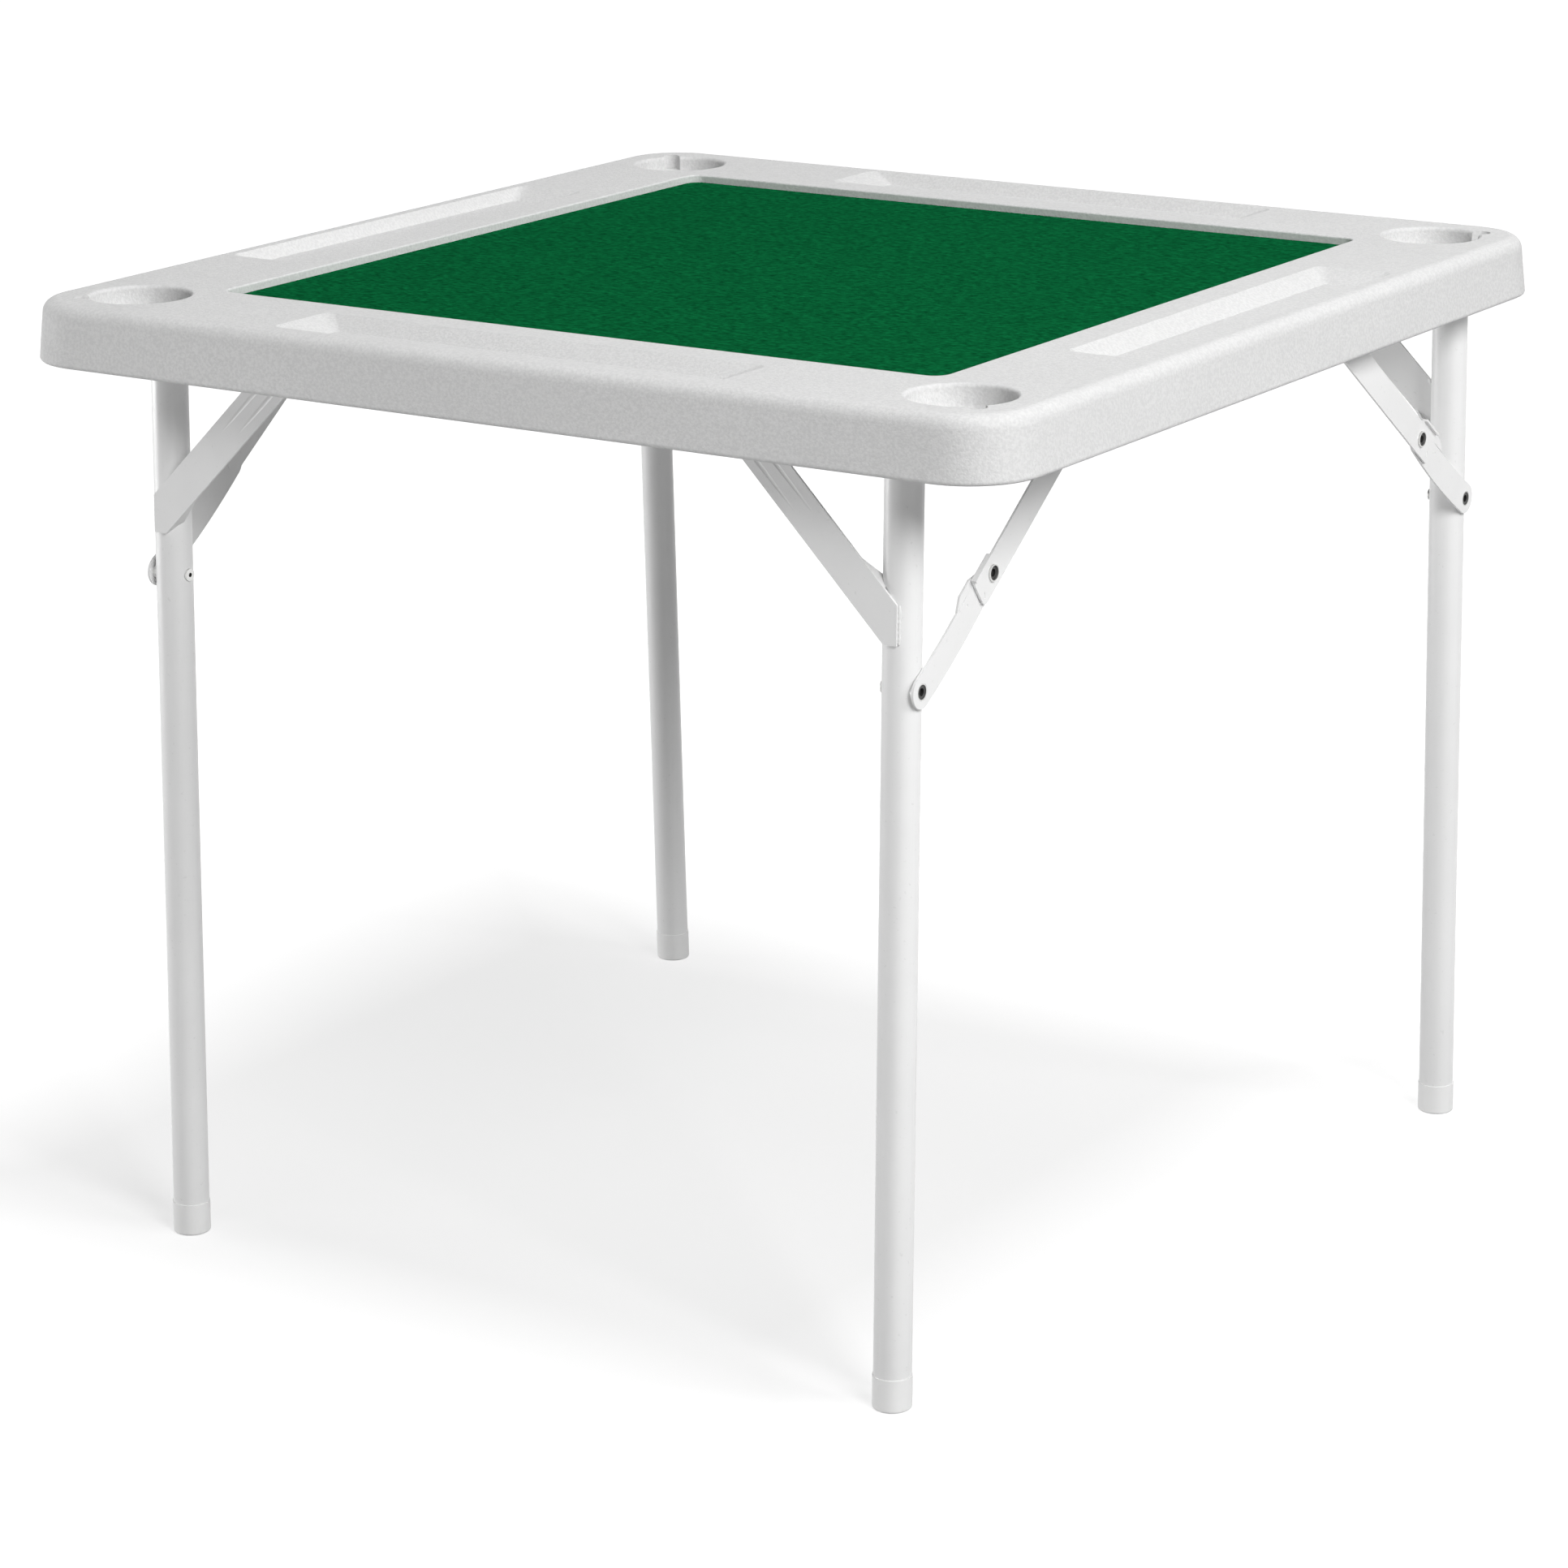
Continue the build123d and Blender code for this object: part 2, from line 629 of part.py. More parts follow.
def lower_stay(frame, side):
    """Bowed strip from the leg rivet to the knee, with a lobe on its hinge side."""
    way = outward(frame, side)
    plane = side_plane(frame, side, lower_stay_in, rivet_u, rivet_v, stay_angle)
    length = lower_stay_length
    lobe = [(share * length, stay_half + rise * (lobe_height - stay_bow)) for share, rise in lobe_shares]
    with BuildPart() as stay:
        with BuildSketch(plane):
            with BuildLine():
                ThreePointArc((0, -stay_half), (length / 2, -stay_half - stay_bow), (length, -stay_half))
                ThreePointArc((length, -stay_half), (length + stay_half, 0), (length, stay_half))
                ThreePointArc((length, stay_half), (length / 2, stay_half - stay_bow), (0, stay_half))
                ThreePointArc((0, stay_half), (-stay_half, 0), (0, -stay_half))
            make_face()
            Polygon(*lobe, align=None)
            Circle(stay_hole_radius, mode=Mode.SUBTRACT)
            with Locations((length, 0)):
                Circle(rivet_radius, mode=Mode.SUBTRACT)
        extrude(amount=way * stay_thickness)
        with BuildSketch(plane.offset(way * stay_thickness)):
            Circle(rivet_head_radius + flush_clearance)
        extrude(amount=-way * flush_depth, mode=Mode.SUBTRACT)
        with BuildSketch(plane.offset(way * stay_thickness)):
            with Locations((length - pip_reach, pip_side)):
                Circle(pip_radius)
        extrude(amount=-way * pip_depth, mode=Mode.SUBTRACT)
    return stay.part


def upper_stay(frame, side):
    """Straight strip from the knee to the bracket pin, with a stop tab beside the knee."""
    way = outward(frame, side)
    plane = side_plane(frame, side, upper_stay_in, knee_u, knee_v, stay_angle)
    length = upper_stay_length
    with BuildPart() as stay:
        with BuildSketch(plane):
            with Locations((-stay_tail, 0)):
                Rectangle(stay_tail + length, stay_width, align=(Align.MIN, Align.CENTER))
            with Locations((length, 0)):
                Circle(stay_half)
            with Locations((-stay_tail, 0)):
                Rectangle(stay_tail + tab_above_knee, stay_half + tab_height, align=(Align.MIN, Align.MIN))
            with Locations((length, 0)):
                Circle(stay_hole_radius, mode=Mode.SUBTRACT)
            Circle(rivet_radius, mode=Mode.SUBTRACT)
        extrude(amount=way * stay_thickness)
        fillet(stay.edges().filter_by(Axis.X).sort_by_distance(
            plane.from_local_coords(Vector(-stay_tail, -stay_half, 0)))[0], stay_tail_radius)
        with BuildSketch(plane):
            with Locations((-stay_tail, stay_half + tab_height)):
                Rectangle(stay_tail + tab_above_knee, stay_thickness, align=(Align.MIN, Align.MAX))
        extrude(amount=way * (stay_thickness + tab_lip))
        with BuildSketch(plane.offset(way * stay_thickness)):
            with Locations(Location((-slit_reach, -slit_side, 0), (0, 0, slit_turn))):
                SlotOverall(slit_length, slit_width)
        extrude(amount=-way * slit_depth, mode=Mode.SUBTRACT)
    return stay.part


def knee_rivet_inner(frame, side):
    """Half of the knee rivet that is set in the lower stay."""
    way = outward(frame, side)
    with BuildPart() as rivet:
        plane = side_plane(frame, side, 0, knee_u, knee_v)
        add_rod(plane, collar_radius, lower_stay_in - collar, lower_stay_in, way)
        add_rod(plane, rivet_radius, lower_stay_in, lower_stay_out, way)
    return rivet.part


def knee_rivet_outer(frame, side):
    """Hollow half of the knee rivet that is set in the upper stay."""
    way = outward(frame, side)
    with BuildPart() as rivet:
        plane = side_plane(frame, side, 0, knee_u, knee_v)
        add_rod(plane, rivet_radius, upper_stay_in, upper_stay_out, way)
        add_rod(plane, rivet_head_radius, upper_stay_out, upper_stay_out + rivet_head, way)
        hollow_rivet(plane, upper_stay_out + rivet_head, rivet_rim_depth, way)
    return rivet.part


keep(screws(strap_screw_places, strap_thickness), "strap_screws")
keep(screws(bracket_screw_places, bracket_thickness), "bracket_screws")
for tag, frame in frames.items():
    keep(hinge_straps(frame), "hinge_straps_" + tag)
    keep(hinge_saddles(frame), "hinge_saddles_" + tag)
    keep(stay_brackets(frame), "stay_brackets_" + tag)
    keep(bracket_pins(frame), "bracket_pins_" + tag)
    keep(cross_tube(frame), "cross_tube_" + tag)
    keep(tube_plugs(frame), "tube_plugs_" + tag)
    keep(leg_rivets(frame), "leg_rivets_" + tag)
    keep(stay_washers(frame), "stay_washers_" + tag)
    for name, side in sides.items():
        place = tag + "_" + name
        keep(leg_tube(frame, side), "leg_" + place)
        keep(foot_cap(frame, side), "foot_cap_" + place)
        keep(corner_brace(frame, side), "corner_brace_" + place)
        keep(lower_stay(frame, side), "lower_stay_" + place)
        keep(upper_stay(frame, side), "upper_stay_" + place)
        keep(knee_rivet_inner(frame, side), "knee_rivet_inner_" + place)
        keep(knee_rivet_outer(frame, side), "knee_rivet_outer_" + place)
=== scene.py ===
import math

import bpy
from mathutils import Matrix, Vector, noise


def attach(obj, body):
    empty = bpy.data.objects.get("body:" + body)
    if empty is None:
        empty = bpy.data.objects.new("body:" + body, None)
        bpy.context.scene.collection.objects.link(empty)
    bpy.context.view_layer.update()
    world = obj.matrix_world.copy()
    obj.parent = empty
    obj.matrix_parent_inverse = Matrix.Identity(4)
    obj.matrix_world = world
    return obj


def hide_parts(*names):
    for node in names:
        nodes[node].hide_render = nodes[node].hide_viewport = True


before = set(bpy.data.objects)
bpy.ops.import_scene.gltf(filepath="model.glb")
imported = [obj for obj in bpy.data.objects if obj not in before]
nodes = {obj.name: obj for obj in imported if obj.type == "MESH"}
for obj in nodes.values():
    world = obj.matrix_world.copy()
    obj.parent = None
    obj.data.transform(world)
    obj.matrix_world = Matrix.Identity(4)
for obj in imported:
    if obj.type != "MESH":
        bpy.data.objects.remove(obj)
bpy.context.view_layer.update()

# Lengths are in metres.

# The felt: its sheet and rounded edge, then the nap as height, waves per metre and layer
FELT_HALF = 0.3175
FELT_CORNER = 0.0116
FELT_LOW = 0.728
FELT_THICK = 0.002
FELT_EDGE = 0.0007
FELT_CELLS = 150
FELT_SINK = 0.00025
FELT_NAP = ((0.00012, 60, 0), (0.0001, 9, 3))
FELT_FRAY = 0.00008
FELT_FRAY_WAVES = 900
# Rings down the felt's edge, as shares of FELT_EDGE outward and downward
FELT_DEEP = FELT_THICK / FELT_EDGE
FELT_RINGS = ((0.7, 0.3), (1.0, 1.0), (1.0, FELT_DEEP), (0.3, FELT_DEEP))

# The leg frames: where they hinge, which way they fold, and their rivets
LEAN = math.radians(1.6)
TUBE = 0.014
FRAMES = {
    "a": {"half": 0.324, "y": -0.3745, "z": 0.6939, "inward": 1},
    "b": {"half": 0.386, "y": 0.3485, "z": 0.6929, "inward": -1},
}
SIDES = {"left": -1, "right": 1}
RIVET_DROP = 0.165
PIN_REACH = 0.222
KNEE = (0.085654, -0.099239)
RIVET_HOLLOW = 0.0053
RIVET_TAIL_HOLLOW = 0.0017
RIVET_EDGE = 0.0001
RIVET_CHANGE = 0.0005

# Weld beads: round the top of each leg, down the brace's end on the leg, and along its top
BEAD_SIDES = 10
BEAD_TIP, BEAD_SWELL = 0.25, 0.5
RIPPLE_WAVE, RIPPLE_PACE = 0.16, 1.9
RIPPLE_NOISE, RIPPLE_GRAIN = 0.12, 900
COPE = 0.004
COPE_BEAD = 0.0013
COPE_POINTS = 56
COPE_OUT = TUBE + 0.0002
COPE_LIFT = 0.0004
BRACE_DROP = 0.1175
BRACE_BEAD = 0.0012
BRACE_POINTS = 26
BRACE_LOW, BRACE_HIGH = -0.0138, 0.0148
BRACE_ASIDE = 0.0055
BRACE_OUT = TUBE - 0.0004
BRACE_TOP = 0.006
BRACE_LIFT = TUBE / math.sin(math.radians(45))
TOP_BEAD = 0.0009
TOP_POINTS = 30
TOP_LENGTH_SHARE = 0.9
TOP_RISE = 0.0003
TOP_OUT = TUBE + 0.0004

# Colours, in pairs that a material wanders between
PLASTIC = (0.715, 0.715, 0.713), (0.745, 0.745, 0.743)
PLASTIC_PORE = (0.62, 0.62, 0.62)
FITTINGS = (0.885, 0.885, 0.88), (0.92, 0.92, 0.915)
PAINT = (0.845, 0.845, 0.843), (0.875, 0.875, 0.873)
PAINT_SPECK = (0.60, 0.60, 0.59)
WELD = (0.82, 0.82, 0.815), (0.74, 0.74, 0.735)
FELT = (0.0013, 0.054, 0.016), (0.0042, 0.158, 0.047)
FELT_CLOUD = (0.0017, 0.073, 0.0215)
FELT_LINT = (0.008, 0.150, 0.055)
FELT_SHEEN = (0.05, 0.9, 0.4)
BOARD = (0.16, 0.095, 0.052), (0.26, 0.165, 0.095)
ZINC = (0.52, 0.53, 0.54), (0.68, 0.68, 0.67)
RIVET_RIM = (0.55, 0.55, 0.54), (0.70, 0.70, 0.69)
# Rivet hollows: near black, the dark steel of the bore deepened with painted shade
RIVET_PAINTED_SHADE = (0.012, 0.012, 0.012), (0.035, 0.035, 0.034)
FLOOR = (0.395, 0.395, 0.395), (0.405, 0.405, 0.405)

# The felt's fibres: turn of each layer about Z, and its stretch
FIBRE_TURNS = ((0.35, (110, 520, 1)), (-0.5, (140, 600, 1)), (1.25, (190, 700, 1)))
FIBRE_WANDER = 0.012

# The stage: a floor, white but for a soft square of painted shade under the top, and even light
# around
SPAN = 30.0
SHADE_MIDDLE = {"X": -0.17, "Y": -0.01}
SHADE_INNER, SHADE_OUTER = 0.345, 0.725
SHADE_LEVEL = 0.62
WORLD_LIGHT = 0.11
# Lamps: name, place, height aimed at, size and watts
LAMPS = (
    ("key", (3.6, -2.2, 3.2), 0.45, (1.6, 1.6), 135.0),
    ("right", (3.8, 0.2, 3.1), 0.45, (1.8, 1.8), 69.0),
    ("top", (-0.1, 0.5, 3.6), 0.7, (2.6, 2.6), 40.0),
    ("left", (-4.4, -1.6, 0.35), 0.3, (2.4, 0.6), 100.0),
    ("front", (-0.6, -5.0, 0.7), 0.3, (2.6, 1.2), 22.0),
)

# The camera, from the fit to the photo: angles in radians, sensor and lens in millimetres
YAW, PITCH, ROLL = 0.5797041, 0.2854202, -0.0088503
CAMERA_PLACE = (2.0006, -3.0886, 1.3963)
SENSOR, LENS = 36.0, 110.21
CLIP_END = 100.0


class Nodes:
    """Builds the node tree of a material or a world."""

    def __init__(self, owner):
        owner.use_nodes = True
        self.tree = owner.node_tree
        self.tree.nodes.clear()

    def new(self, kind):
        return self.tree.nodes.new("ShaderNode" + kind)

    def link(self, source, target):
        self.tree.links.new(source, target)

    def feed(self, socket, value):
        if hasattr(value, "links"):
            self.link(value, socket)
        elif isinstance(value, (tuple, list)) and socket.type == "RGBA":
            socket.default_value = (*value, 1.0)
        else:
            socket.default_value = value

    def math(self, kind, a, b=0.0):
        node = self.new("Math")
        node.operation = kind
        self.feed(node.inputs[0], a)
        self.feed(node.inputs[1], b)
        return node.outputs[0]

    def spread(self, value, low, high, to_low, to_high):
        node = self.new("MapRange")
        self.link(value, node.inputs["Value"])
        for key, number in (("From Min", low), ("From Max", high),
                            ("To Min", to_low), ("To Max", to_high)):
            node.inputs[key].default_value = number
        return node.outputs[0]

    def seen(self):
        """1 for rays from the camera, off a shine or through something clear, and 0 for others."""
        path = self.new("LightPath").outputs
        return self.math("MAXIMUM", path["Is Camera Ray"],
                         self.math("MAXIMUM", path["Is Glossy Ray"], path["Is Transmission Ray"]))


class Surface(Nodes):
    """Builds one material from a principled shader."""

    def __init__(self, name):
        self.material = bpy.data.materials.new(name)
        super().__init__(self.material)
        self.output = self.new("OutputMaterial")
        self.shader = self.new("BsdfPrincipled")
        self.link(self.shader.outputs[0], self.output.inputs["Surface"])
        self.place = self.new("TexCoord").outputs["Object"]

    def axes(self):
        node = self.new("SeparateXYZ")
        self.link(self.place, node.inputs[0])
        return node.outputs

    def mapped(self, scale, turn=0.0, vector=None):
        node = self.new("Mapping")
        self.link(vector or self.place, node.inputs["Vector"])
        node.inputs["Scale"].default_value = scale
        node.inputs["Rotation"].default_value = (0, 0, turn)
        return node.outputs[0]

    def noise(self, scale, detail=3.0, rough=0.5, vector=None, output="Fac"):
        node = self.new("TexNoise")
        self.link(vector or self.place, node.inputs["Vector"])
        node.inputs["Scale"].default_value = scale
        node.inputs["Detail"].default_value = detail
        node.inputs["Roughness"].default_value = rough
        return node.outputs[output]

    def cells(self, scale, smooth=0.6):
        node = self.new("TexVoronoi")
        node.feature = "SMOOTH_F1"
        self.link(self.place, node.inputs["Vector"])
        node.inputs["Scale"].default_value = scale
        node.inputs["Smoothness"].default_value = smooth
        return node.outputs["Distance"]

    def mix(self, share, a, b):
        node = self.new("Mix")
        node.data_type = "RGBA"
        self.feed(node.inputs["Factor"], share)
        self.feed(node.inputs["A"], a)
        self.feed(node.inputs["B"], b)
        return node.outputs["Result"]

    def blend(self, value, low, high, a, b, most=1.0):
        """Colour a where the value is low, and most of the way to b where it is high."""
        return self.mix(self.spread(value, low, high, 0.0, most), a, b)

    def bump(self, height, strength, distance, normal=None):
        node = self.new("Bump")
        node.inputs["Strength"].default_value = strength
        node.inputs["Distance"].default_value = distance
        self.link(height, node.inputs["Height"])
        if normal:
            self.link(normal, node.inputs["Normal"])
        return node.outputs["Normal"]

    def wander(self, waves, reach):
        """The place, pushed about by up to the reach."""
        small = self.new("VectorMath")
        small.operation = "SCALE"
        small.inputs["Scale"].default_value = reach
        self.link(self.noise(waves, detail=2.0, output="Color"), small.inputs[0])
        moved = self.new("VectorMath")
        moved.operation = "ADD"
        self.link(self.place, moved.inputs[0])
        self.link(small.outputs[0], moved.inputs[1])
        return moved.outputs[0]

    def finish(self, **values):
        for key, value in values.items():
            self.feed(self.shader.inputs[key.replace("_", " ")], value)
        return self.material


def moulded_plastic():
    """Blow-moulded plastic with a pebbled skin, fine pores and faint flow marks."""
    m = Surface("moulded_plastic")
    pebble = m.cells(620.0)
    grain = m.noise(1500.0, detail=2.0)
    flow = m.noise(5.0, detail=4.0, rough=0.55, vector=m.mapped((1, 1, 3)))
    pores = m.noise(430.0, detail=2.0)
    wave = m.noise(14.0, detail=2.0)
    tone = m.blend(flow, 0.35, 0.65, *PLASTIC)
    color = m.blend(pores, 0.4, 0.6, tone, PLASTIC_PORE, most=0.55)
    height = m.math("ADD", pebble, m.math("MULTIPLY", grain, 0.45))
    normal = m.bump(height, 0.6, 0.00025, m.bump(pores, 0.5, 0.0005))
    normal = m.bump(wave, 0.25, 0.0006, normal)
    rough = m.spread(m.noise(60.0), 0.3, 0.7, 0.58, 0.70)
    return m.finish(Base_Color=color, Roughness=rough, Normal=normal, IOR=1.5,
                    Specular_IOR_Level=0.2)


def smooth_plastic():
    """Injection-moulded plastic with faint sink marks and fine scuffs."""
    m = Surface("white_plastic")
    scuff = m.noise(260.0, detail=5.0, rough=0.65, vector=m.mapped((1, 1, 0.25)))
    cloud = m.noise(30.0, detail=2.0)
    scuffed = tuple(x * 0.88 for x in FITTINGS[0])
    color = m.blend(cloud, 0.35, 0.65, *FITTINGS)
    color = m.blend(scuff, 0.56, 0.75, color, scuffed, most=0.25)
    normal = m.bump(m.noise(700.0, detail=2.0), 0.2, 0.0001, m.bump(cloud, 0.2, 0.0004))
    rough = m.spread(scuff, 0.3, 0.7, 0.32, 0.48)
    return m.finish(Base_Color=color, Roughness=rough, Normal=normal)


def painted_steel():
    """Powder coat with a fine orange-peel skin and specks of dust."""
    m = Surface("white_paint")
    peel = m.noise(420.0, detail=2.0, rough=0.45)
    fine = m.noise(1700.0, detail=1.0)
    cloud = m.noise(11.0, detail=4.0, rough=0.55)
    dust = m.noise(330.0, detail=1.0)
    color = m.blend(cloud, 0.35, 0.65, *PAINT)
    color = m.blend(dust, 0.7, 0.78, color, PAINT_SPECK, most=0.25)
    height = m.math("ADD", peel, m.math("MULTIPLY", fine, 0.35))
    rough = m.spread(m.noise(75.0), 0.3, 0.7, 0.30, 0.44)
    return m.finish(Base_Color=color, Roughness=rough, Normal=m.bump(height, 0.35, 0.00012),
                    Coat_Weight=0.12, Coat_Roughness=0.25)


def weld_paint():
    """The same paint over a rippled weld bead."""
    m = Surface("weld_paint")
    grit = m.noise(900.0, detail=4.0, rough=0.6)
    color = m.blend(grit, 0.35, 0.7, *WELD)
    return m.finish(Base_Color=color, Roughness=0.42, Normal=m.bump(grit, 0.5, 0.0003))


def felt():
    """Pressed wool felt: short matted fibres that lie in wandering streaks."""
    m = Surface("green_felt")
    cloud = m.noise(38.0, detail=2.0)
    bend = m.wander(30.0, FIBRE_WANDER)
    layers = [m.noise(1.0, rough=0.6, vector=m.mapped(scale, turn, bend))
              for turn, scale in FIBRE_TURNS]
    fibre = m.math("ADD", m.math("ADD", layers[0], layers[1]), layers[2])
    fibre = m.math("MULTIPLY", fibre, 1 / len(layers))
    matted = m.noise(210.0, detail=4.0, rough=0.6)
    lint = m.noise(620.0, detail=2.0, vector=bend)
    shade = m.math("ADD", m.math("MULTIPLY", fibre, 0.7), m.math("MULTIPLY", matted, 0.3))
    color = m.blend(shade, 0.42, 0.58, *FELT)
    color = m.blend(cloud, 0.3, 0.7, color, FELT_CLOUD, most=0.22)
    color = m.blend(lint, 0.68, 0.78, color, FELT_LINT, most=0.25)
    normal = m.bump(fibre, 0.5, 0.0006, m.bump(matted, 0.35, 0.0005))
    return m.finish(Base_Color=color, Roughness=1.0, Normal=normal, Specular_IOR_Level=0.0,
                    Sheen_Weight=0.02, Sheen_Roughness=0.5, Sheen_Tint=FELT_SHEEN)


def hardboard():
    """Pressed fibre board."""
    m = Surface("hardboard")
    fibre = m.noise(160.0, detail=5.0, rough=0.65, vector=m.mapped((1, 3, 8)))
    color = m.blend(fibre, 0.3, 0.7, *BOARD)
    return m.finish(Base_Color=color, Roughness=0.8, Normal=m.bump(fibre, 0.4, 0.0004))


def zinc():
    """Zinc-plated steel with a spangled, brushed face."""
    m = Surface("zinc_steel")
    brushed = m.noise(90.0, detail=4.0, rough=0.6, vector=m.mapped((1, 14, 6)))
    color = m.blend(m.cells(420.0, smooth=0.1), 0.1, 0.6, *ZINC)
    rough = m.spread(brushed, 0.3, 0.7, 0.24, 0.42)
    return m.finish(Base_Color=color, Metallic=1.0, Roughness=rough,
                    Normal=m.bump(brushed, 0.2, 0.0001))


def rivet(name, y, z, inner=0.0):
    """Rolled steel rim round a hollow painted near black, about an axis along X: the bare dark
    steel of the bore, deepened with painted shade.

    Nearer the middle plane than inner it is a rivet's tail, bright with a small bore of painted
    shade.
    """
    m = Surface(name)
    place = m.axes()
    dy = m.math("SUBTRACT", place["Y"], y)
    dz = m.math("SUBTRACT", place["Z"], z)
    away = m.math("SQRT", m.math("ADD", m.math("MULTIPLY", dy, dy), m.math("MULTIPLY", dz, dz)))
    turned = m.noise(1400.0, rough=0.6)
    hollow = RIVET_HOLLOW
    if inner:
        across = m.math("ABSOLUTE", place["X"])
        hollow = m.spread(across, inner - RIVET_CHANGE, inner + RIVET_CHANGE,
                          RIVET_TAIL_HOLLOW, RIVET_HOLLOW)
    # Inside the hollow the colour goes near black and less metallic: painted shade over the bore's
    # dark steel
    painted_shade_hollow = m.spread(m.math("SUBTRACT", away, hollow), -RIVET_EDGE, RIVET_EDGE, 1.0, 0.0)
    color = m.mix(painted_shade_hollow, m.blend(turned, 0.3, 0.7, *RIVET_RIM),
                  m.blend(turned, 0.3, 0.7, *RIVET_PAINTED_SHADE))
    metal = m.spread(painted_shade_hollow, 0.0, 1.0, 1.0, 0.2)
    rough = m.spread(turned, 0.3, 0.7, 0.28, 0.45)
    return m.finish(Base_Color=color, Metallic=metal, Roughness=rough,
                    Normal=m.bump(turned, 0.3, 0.0001))


def dress(name, material):
    """Gives a CAD node one material."""
    data = nodes[name].data
    data.materials.clear()
    data.materials.append(material)


def make_mesh(name, points, faces, material, smooth=True):
    data = bpy.data.meshes.new(name)
    data.from_pydata([tuple(p) for p in points], [], faces)
    data.validate()
    data.polygons.foreach_set("use_smooth", [smooth] * len(data.polygons))
    data.materials.append(material)
    piece = bpy.data.objects.new(name, data)
    bpy.context.scene.collection.objects.link(piece)
    return piece


def rounded(x, y, half, corner):
    """Moves a point of a square onto a square with rounded corners."""
    flat = half - corner
    over = (max(abs(x) - flat, 0.0), max(abs(y) - flat, 0.0))
    if min(over) == 0.0:
        return x, y
    pull = max(over) / math.hypot(*over)
    return (math.copysign(flat + over[0] * pull, x), math.copysign(flat + over[1] * pull, y))


def outward(x, y, half):
    """The unit step out of the felt at a point of its border."""
    wide = abs(abs(x) - half) < FELT_CORNER
    tall = abs(abs(y) - half) < FELT_CORNER
    if wide and tall:
        flat = half - FELT_CORNER + FELT_EDGE
        dx, dy = x - math.copysign(flat, x), y - math.copysign(flat, y)
        size = math.hypot(dx, dy)
        return dx / size, dy / size
    return (math.copysign(1, x), 0) if wide else (0, math.copysign(1, y))


def felt_piece(material):
    """The felt: an even nap on top, with a rounded and slightly fuzzy cut edge."""
    top = FELT_LOW + FELT_THICK
    count = FELT_CELLS + 1
    half = FELT_HALF - FELT_EDGE
    points, faces = [], []
    for j in range(count):
        for i in range(count):
            x = half * (2 * i / FELT_CELLS - 1)
            y = half * (2 * j / FELT_CELLS - 1)
            x, y = rounded(x, y, half, FELT_CORNER - FELT_EDGE)
            nap = sum(noise.noise((x * waves, y * waves, layer)) * height
                      for height, waves, layer in FELT_NAP)
            points.append((x, y, top - FELT_SINK + nap))
    for j in range(FELT_CELLS):
        for i in range(FELT_CELLS):
            a = j * count + i
            faces.append((a, a + 1, a + count + 1, a + count))
    border = (list(range(FELT_CELLS))
              + [j * count + FELT_CELLS for j in range(FELT_CELLS)]
              + [count * count - 1 - i for i in range(FELT_CELLS)]
              + [(FELT_CELLS - j) * count for j in range(FELT_CELLS)])
    ring = border
    for out, drop in FELT_RINGS:
        fresh = []
        for k in border:
            x, y, _ = points[k]
            fray = FELT_FRAY * noise.noise((x * FELT_FRAY_WAVES, y * FELT_FRAY_WAVES, drop))
            reach = FELT_EDGE * out + (fray if drop < FELT_DEEP else 0.0)
            dx, dy = outward(x, y, half)
            fresh.append(len(points))
            points.append((x + dx * reach, y + dy * reach, top - FELT_EDGE * drop))
        for k in range(len(border)):
            n = (k + 1) % len(border)
            faces.append((ring[n], ring[k], fresh[k], fresh[n]))
        ring = fresh
    faces.append(tuple(reversed(ring)))
    return make_mesh("felt_sheet", points, faces, material)


def bead(name, path, material, closed=False, radius=COPE_BEAD):
    """A weld bead: a rippled tube along a path, rounded off at open ends."""
    count = len(path)
    points, faces = [], []
    for k in range(count):
        here = Vector(path[k])
        ahead = Vector(path[(k + 1) % count]) if closed or k < count - 1 else here
        behind = Vector(path[k - 1]) if closed or k > 0 else here
        along = (ahead - behind).normalized()
        side = along.orthogonal().normalized()
        up = along.cross(side)
        ripple = (1 + RIPPLE_WAVE * math.sin(k * RIPPLE_PACE)
                  + RIPPLE_NOISE * noise.noise(here * RIPPLE_GRAIN))
        if not closed:
            ripple *= min(1.0, BEAD_TIP + BEAD_SWELL * min(k, count - 1 - k))
        for j in range(BEAD_SIDES):
            a = 2 * math.pi * j / BEAD_SIDES
            points.append(here + (side * math.cos(a) + up * math.sin(a)) * radius * ripple)
    for k in range(count if closed else count - 1):
        n = (k + 1) % count
        for j in range(BEAD_SIDES):
            m = (j + 1) % BEAD_SIDES
            faces.append((k * BEAD_SIDES + j, k * BEAD_SIDES + m,
                          n * BEAD_SIDES + m, n * BEAD_SIDES + j))
    if not closed:
        faces.append(tuple(reversed(range(BEAD_SIDES))))
        faces.append(tuple(range((count - 1) * BEAD_SIDES, count * BEAD_SIDES)))
    return make_mesh(name, points, faces, material)


def frame_point(spec, x, up, out):
    """A point by its place across, up the frame's plane and outward from it."""
    inward = spec["inward"]
    y = spec["y"] + up * inward * math.sin(LEAN) - out * inward * math.cos(LEAN)
    return Vector((x, y, spec["z"] + up * math.cos(LEAN) + out * math.sin(LEAN)))


